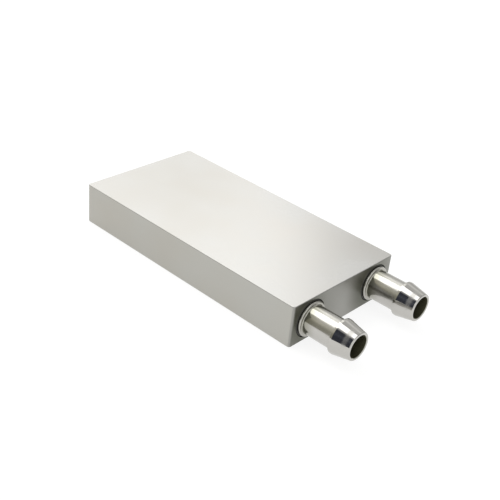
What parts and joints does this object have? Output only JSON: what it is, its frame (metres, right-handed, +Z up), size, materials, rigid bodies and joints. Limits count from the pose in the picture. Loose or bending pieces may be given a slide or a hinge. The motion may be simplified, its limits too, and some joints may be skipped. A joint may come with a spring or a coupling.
{
  "type": "liquid cooling cold plate",
  "caption": "Flat rectangular aluminium cold plate with a finned U-shaped coolant channel inside and two turned hose barbs on one end face.",
  "frame": {"origin": "centre of the plate's flat underside", "axes": "+X along the plate, out of the end with the hose barbs; +Y across its width, towards the outlet; +Z up through its thickness, out of the cooling face"},
  "size_m": [0.0953, 0.04, 0.012],
  "materials": {
    "plate_aluminium": "fine blasted, satin, clear",
    "cover_aluminium": "fine milled, satin",
    "barb_nickel": "bright nickel plate over turned metal",
    "seal_rubber": "black nitrile"
  },
  "bodies": {
    "root": {"channel_body": "plate_aluminium", "cover_plate": "cover_aluminium", "inlet_barb": "barb_nickel", "outlet_barb": "barb_nickel", "inlet_seal": "seal_rubber", "outlet_seal": "seal_rubber"}
  },
  "joints": []
}
